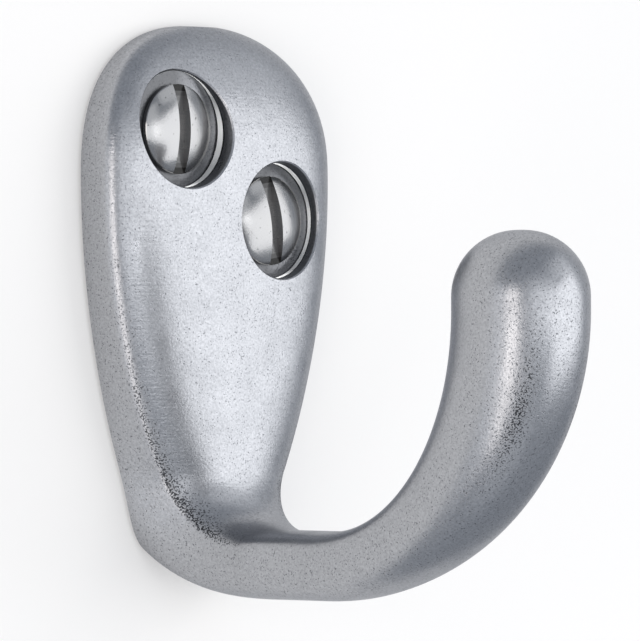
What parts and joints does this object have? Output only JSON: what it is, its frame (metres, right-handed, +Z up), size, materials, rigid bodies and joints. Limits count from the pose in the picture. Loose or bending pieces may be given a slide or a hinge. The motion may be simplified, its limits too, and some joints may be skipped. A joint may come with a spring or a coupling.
{
  "type": "coat hook",
  "caption": "Cast coat hook with an egg-shaped crowned backplate, a round-tipped prong that sweeps forward and up, and two slotted domed screws in counterbored holes.",
  "frame": {"origin": "on the back face of the plate, on its centre line, level with its widest place", "axes": "+Y out of the back face into the wall, +Z up the plate, +X to the right of someone who faces the wall"},
  "size_m": [0.0256, 0.0548, 0.0465],
  "materials": {
    "satin_casting": "satin, fine cast pits, faint brush lines",
    "bright_screw": "bright plated steel"
  },
  "bodies": {
    "root": {"hook_body": "satin_casting", "fixing_screws": "bright_screw"}
  },
  "joints": []
}
